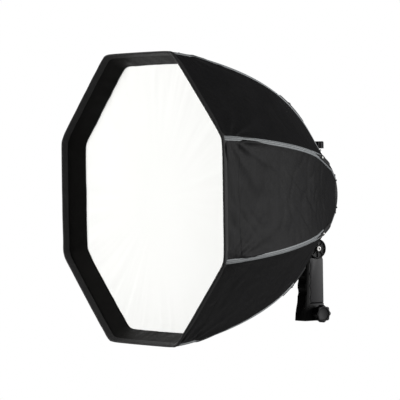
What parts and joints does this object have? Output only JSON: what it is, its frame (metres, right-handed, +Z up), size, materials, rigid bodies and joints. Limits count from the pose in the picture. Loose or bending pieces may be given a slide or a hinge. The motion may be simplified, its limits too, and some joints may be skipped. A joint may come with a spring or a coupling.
{
  "type": "studio softbox",
  "caption": "Octagonal fabric softbox with a recessed white diffuser, on a tilting flash bracket with a pistol grip and a socket for a lighting stand.",
  "frame": {"origin": "centre of the stand socket's mouth, on the underside of the grip", "axes": "+Z up, along the stand socket; -Y the way the softbox faces, so +Y is its rear; +X towards the stand clamp knob"},
  "size_m": [0.5488, 0.444, 0.5488],
  "materials": {
    "black_fabric": "matt woven polyester, black",
    "white_fabric": "translucent white diffusion cloth",
    "shell_plastic": "fine textured charcoal plastic",
    "grip_rubber": "soft black rubber",
    "black_plastic": "black moulded plastic",
    "knob_plastic": "satin dark grey moulded plastic",
    "bracket_metal": "black powder coated aluminium",
    "pad_rubber": "ribbed black rubber",
    "bright_steel": "bright zinc plated steel",
    "rod_steel": "black coated spring steel"
  },
  "bodies": {
    "handle": {"handle_left_shell": "shell_plastic", "handle_right_shell": "shell_plastic", "finger_grip": "grip_rubber", "socket_block": "black_plastic", "socket_bushing": "bright_steel", "tilt_yoke": "black_plastic", "tilt_disc": "black_plastic", "tilt_bolt": "bright_steel", "friction_washers": "bright_steel", "handle_screws": "bright_steel"},
    "stand_screw": {"stand_stud": "bright_steel"},
    "stand_knob": {"stand_knob": "knob_plastic"},
    "head": {"bracket_frame": "bracket_metal", "bayonet_ring": "bracket_metal", "rib_ring": "black_plastic", "hinge_pins": "bright_steel", "ring_screws": "bright_steel", "lower_jaw": "bracket_metal", "lower_jaw_pad": "pad_rubber"},
    "tilt_lever": {"tilt_lever": "black_plastic"},
    "clamp_jaw": {"upper_jaw": "bracket_metal", "upper_jaw_pad": "pad_rubber", "guide_rods": "bright_steel"},
    "clamp_screw": {"clamp_spindle": "bright_steel", "clamp_knob": "black_plastic"},
    "rib_1": {"rib_arm_1": "black_plastic", "rib_rod_1": "rod_steel", "shell_panel_1": "black_fabric", "front_diffuser_1": "white_fabric"},
    "rib_2": {"rib_arm_2": "black_plastic", "rib_rod_2": "rod_steel", "shell_panel_2": "black_fabric", "front_diffuser_2": "white_fabric"},
    "rib_3": {"rib_arm_3": "black_plastic", "rib_rod_3": "rod_steel", "shell_panel_3": "black_fabric", "front_diffuser_3": "white_fabric"},
    "rib_4": {"rib_arm_4": "black_plastic", "rib_rod_4": "rod_steel", "shell_panel_4": "black_fabric", "front_diffuser_4": "white_fabric"},
    "rib_5": {"rib_arm_5": "black_plastic", "rib_rod_5": "rod_steel", "shell_panel_5": "black_fabric", "front_diffuser_5": "white_fabric"},
    "rib_6": {"rib_arm_6": "black_plastic", "rib_rod_6": "rod_steel", "shell_panel_6": "black_fabric", "front_diffuser_6": "white_fabric"},
    "rib_7": {"rib_arm_7": "black_plastic", "rib_rod_7": "rod_steel", "shell_panel_7": "black_fabric", "front_diffuser_7": "white_fabric"},
    "rib_8": {"rib_arm_8": "black_plastic", "rib_rod_8": "rod_steel", "shell_panel_8": "black_fabric", "front_diffuser_8": "white_fabric"}
  },
  "joints": [
    {"name": "head_tilt", "type": "hinge", "parent": "handle", "child": "head", "pos_m": [0, 0.001, 0.1405], "axis": [-1, 0, 0], "range_deg": [-25, 80]},
    {"name": "stand_knob_turn", "type": "hinge", "parent": "stand_screw", "child": "stand_knob", "pos_m": [0, 0, 0.014], "axis": [1, 0, 0], "range_deg": [0, 720]},
    {"name": "stand_screw_slide", "type": "slide", "parent": "handle", "child": "stand_screw", "axis": [1, 0, 0], "range_m": [0, 0.0025]},
    {"name": "tilt_lever_turn", "type": "hinge", "parent": "head", "child": "tilt_lever", "pos_m": [0, 0.001, 0.1405], "axis": [-1, 0, 0], "range_deg": [0, 80]},
    {"name": "clamp_knob_turn", "type": "hinge", "parent": "clamp_jaw", "child": "clamp_screw", "pos_m": [0, 0.017, 0.343], "axis": [0, 0, -1], "range_deg": [0, 1080]},
    {"name": "clamp_jaw_slide", "type": "slide", "parent": "head", "child": "clamp_jaw", "axis": [0, 0, -1], "range_m": [0, 0.012]},
    {"name": "rib_1_fold", "type": "hinge", "parent": "head", "child": "rib_1", "pos_m": [0.07668, -0.0125, 0.27976], "axis": [0.3827, 0, -0.9239], "range_deg": [0, 18], "deforming": ["shell_panel_1", "front_diffuser_1"]},
    {"name": "rib_2_fold", "type": "hinge", "parent": "head", "child": "rib_2", "pos_m": [0.03176, -0.0125, 0.32468], "axis": [0.9239, 0, -0.3827], "range_deg": [0, 18], "deforming": ["shell_panel_2", "front_diffuser_2"]},
    {"name": "rib_3_fold", "type": "hinge", "parent": "head", "child": "rib_3", "pos_m": [-0.03176, -0.0125, 0.32468], "axis": [0.9239, 0, 0.3827], "range_deg": [0, 18], "deforming": ["shell_panel_3", "front_diffuser_3"]},
    {"name": "rib_4_fold", "type": "hinge", "parent": "head", "child": "rib_4", "pos_m": [-0.07668, -0.0125, 0.27976], "axis": [0.3827, 0, 0.9239], "range_deg": [0, 18], "deforming": ["shell_panel_4", "front_diffuser_4"]},
    {"name": "rib_5_fold", "type": "hinge", "parent": "head", "child": "rib_5", "pos_m": [-0.07668, -0.0125, 0.21624], "axis": [-0.3827, 0, 0.9239], "range_deg": [0, 18], "deforming": ["shell_panel_5", "front_diffuser_5"]},
    {"name": "rib_6_fold", "type": "hinge", "parent": "head", "child": "rib_6", "pos_m": [-0.03176, -0.0125, 0.17132], "axis": [-0.9239, 0, 0.3827], "range_deg": [0, 18], "deforming": ["shell_panel_6", "front_diffuser_6"]},
    {"name": "rib_7_fold", "type": "hinge", "parent": "head", "child": "rib_7", "pos_m": [0.03176, -0.0125, 0.17132], "axis": [-0.9239, 0, -0.3827], "range_deg": [0, 18], "deforming": ["shell_panel_7", "front_diffuser_7"]},
    {"name": "rib_8_fold", "type": "hinge", "parent": "head", "child": "rib_8", "pos_m": [0.07668, -0.0125, 0.21624], "axis": [-0.3827, 0, -0.9239], "range_deg": [0, 18], "deforming": ["shell_panel_8", "front_diffuser_8"]}
  ],
  "couplings": [
    {"joint": "stand_knob_turn", "follows": "stand_screw_slide", "rad_per_m": 5026.5},
    {"joint": "clamp_knob_turn", "follows": "clamp_jaw_slide", "rad_per_m": 1570.8},
    {"joint": "rib_2_fold", "follows": "rib_1_fold", "ratio": 1},
    {"joint": "rib_3_fold", "follows": "rib_1_fold", "ratio": 1},
    {"joint": "rib_4_fold", "follows": "rib_1_fold", "ratio": 1},
    {"joint": "rib_5_fold", "follows": "rib_1_fold", "ratio": 1},
    {"joint": "rib_6_fold", "follows": "rib_1_fold", "ratio": 1},
    {"joint": "rib_7_fold", "follows": "rib_1_fold", "ratio": 1},
    {"joint": "rib_8_fold", "follows": "rib_1_fold", "ratio": 1}
  ]
}
